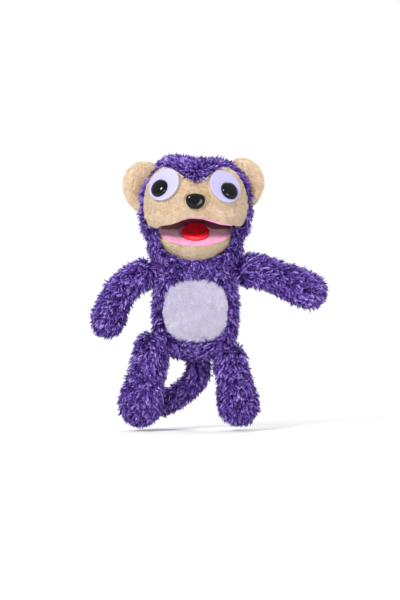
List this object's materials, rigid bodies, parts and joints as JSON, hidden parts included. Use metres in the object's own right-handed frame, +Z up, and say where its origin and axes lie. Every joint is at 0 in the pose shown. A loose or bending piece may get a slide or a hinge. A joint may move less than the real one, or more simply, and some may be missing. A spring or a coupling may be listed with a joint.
{
  "type": "moving mouth puppet",
  "caption": "Plush animal hand puppet whose jaw closes when its belly paddle is pressed; stuffed limbs and tail turn on the body.",
  "frame": {"origin": "centre of the flat rear face of the fixed grip plate in the back, where the fingers hold it", "axes": "+Z up, -Y the way the face looks, +Y out of the grip face towards the fingers, +X to the viewer's right"},
  "size_m": [0.2551, 0.1119, 0.2942],
  "materials": {
    "purple_fur": "long clumped pile",
    "beige_plush": "short pile",
    "white_plush": "short pile",
    "pink_felt": "felt",
    "maroon_felt": "felt",
    "red_plastic": "gloss",
    "white_plastic": "satin",
    "black_plastic": "gloss",
    "grey_plastic": "moulded, matt",
    "foam": "open-cell foam",
    "stuffing": "polyester fibre",
    "steel": "zinc plated"
  },
  "bodies": {
    "frame": {"spine_frame": "grey_plastic", "back_grip": "grey_plastic", "grip_screw_upper": "steel", "grip_screw_lower": "steel", "palate_screw_left": "steel", "palate_screw_right": "steel", "paddle_pin": "steel", "jaw_pin": "steel", "palate_plate": "grey_plastic", "palate_lining": "maroon_felt", "skull_shell": "grey_plastic", "face_panel": "beige_plush", "hood_fur": "purple_fur", "ear_left": "beige_plush", "ear_right": "beige_plush", "eye_disc_left": "white_plastic", "eye_disc_right": "white_plastic", "pupil_left": "black_plastic", "pupil_right": "black_plastic", "eye_washer_left": "grey_plastic", "eye_washer_right": "grey_plastic", "nose": "black_plastic", "nose_washer": "grey_plastic", "body_fur": "purple_fur", "side_pad_left": "stuffing", "side_pad_right": "stuffing"},
    "jaw": {"jaw_plate": "grey_plastic", "jaw_lining": "pink_felt", "tongue": "red_plastic", "chin_pad": "foam", "chin_panel": "beige_plush"},
    "paddle": {"belly_paddle": "grey_plastic", "belly_panel": "white_plush"},
    "rod": {"push_rod": "grey_plastic", "return_spring": "steel"},
    "arm_left": {"arm_left_sleeve": "purple_fur", "arm_left_core": "stuffing"},
    "arm_right": {"arm_right_sleeve": "purple_fur", "arm_right_core": "stuffing"},
    "leg_left": {"leg_left_sleeve": "purple_fur", "leg_left_core": "stuffing"},
    "leg_right": {"leg_right_sleeve": "purple_fur", "leg_right_core": "stuffing"},
    "tail": {"tail_sleeve": "purple_fur", "tail_core": "stuffing"}
  },
  "joints": [
    {"name": "jaw_hinge", "type": "hinge", "parent": "frame", "child": "jaw", "pos_m": [0, -0.014, 0.106], "axis": [1, 0, 0], "range_deg": [-20, 0]},
    {"name": "paddle_hinge", "type": "hinge", "parent": "frame", "child": "paddle", "pos_m": [0, -0.046, 0.04], "axis": [1, 0, 0], "range_deg": [0, 13.2]},
    {"name": "rod_slide", "type": "slide", "parent": "frame", "child": "rod", "axis": [0, 0, 1], "range_m": [0, 0.00465], "stiffness_N_per_m": 80, "springref_m": -0.006, "deforming": ["return_spring"]},
    {"name": "arm_left_swing", "type": "hinge", "parent": "frame", "child": "arm_left", "pos_m": [-0.054, -0.03, 0.05], "axis": [0, 1, 0], "range_deg": [-15, 80]},
    {"name": "arm_right_swing", "type": "hinge", "parent": "frame", "child": "arm_right", "pos_m": [0.0545, -0.03, 0.05], "axis": [0, 1, 0], "range_deg": [-60, 35]},
    {"name": "leg_left_swing", "type": "hinge", "parent": "frame", "child": "leg_left", "pos_m": [-0.049, -0.036, -0.033], "axis": [1, 0, 0], "range_deg": [-75, 10]},
    {"name": "leg_right_swing", "type": "hinge", "parent": "frame", "child": "leg_right", "pos_m": [0.0395, -0.036, -0.044], "axis": [1, 0, 0], "range_deg": [-75, 15]},
    {"name": "tail_swing", "type": "hinge", "parent": "frame", "child": "tail", "pos_m": [0.003, -0.012, -0.047], "axis": [1, 0, 0], "range_deg": [0, 70]}
  ],
  "couplings": [
    {"joint": "paddle_hinge", "follows": "jaw_hinge", "ratio": -0.66},
    {"joint": "rod_slide", "follows": "jaw_hinge", "m_per_rad": -0.0132}
  ]
}
